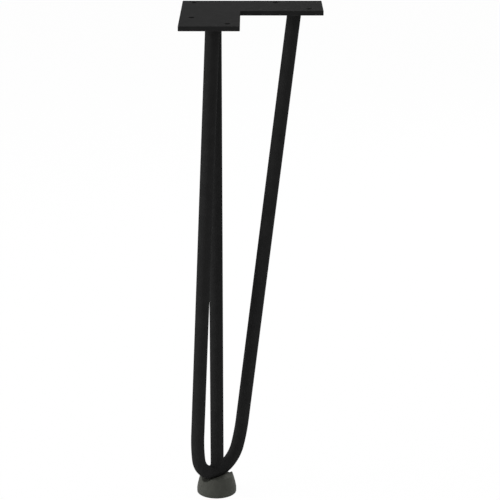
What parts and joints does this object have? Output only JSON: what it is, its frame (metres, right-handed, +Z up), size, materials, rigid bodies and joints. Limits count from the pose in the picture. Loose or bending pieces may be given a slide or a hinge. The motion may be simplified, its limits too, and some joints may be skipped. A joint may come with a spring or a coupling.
{
  "type": "hairpin table leg",
  "caption": "Slim steel table leg: an L-shaped screw plate carries a leaning hairpin rod and an upright corner rod that meet over a round rubber foot.",
  "frame": {"origin": "on the plate's upper face, straight above the middle of the foot", "axes": "+Z up into the table top, +X right along the plate's back edge, +Y towards the plate's back edge; the hairpin's legs stand under the plate's -Y and +X ends"},
  "size_m": [0.12, 0.12, 0.45],
  "materials": {
    "powder_coated_steel": "fine-textured satin black powder coat",
    "foot_rubber": "moulded, matt dark grey"
  },
  "bodies": {
    "root": {"mount_plate": "powder_coated_steel", "hairpin_rod": "powder_coated_steel", "corner_rod": "powder_coated_steel", "front_weld": "powder_coated_steel", "side_weld": "powder_coated_steel", "corner_weld": "powder_coated_steel", "bend_weld": "powder_coated_steel", "foot": "foot_rubber"}
  },
  "joints": []
}
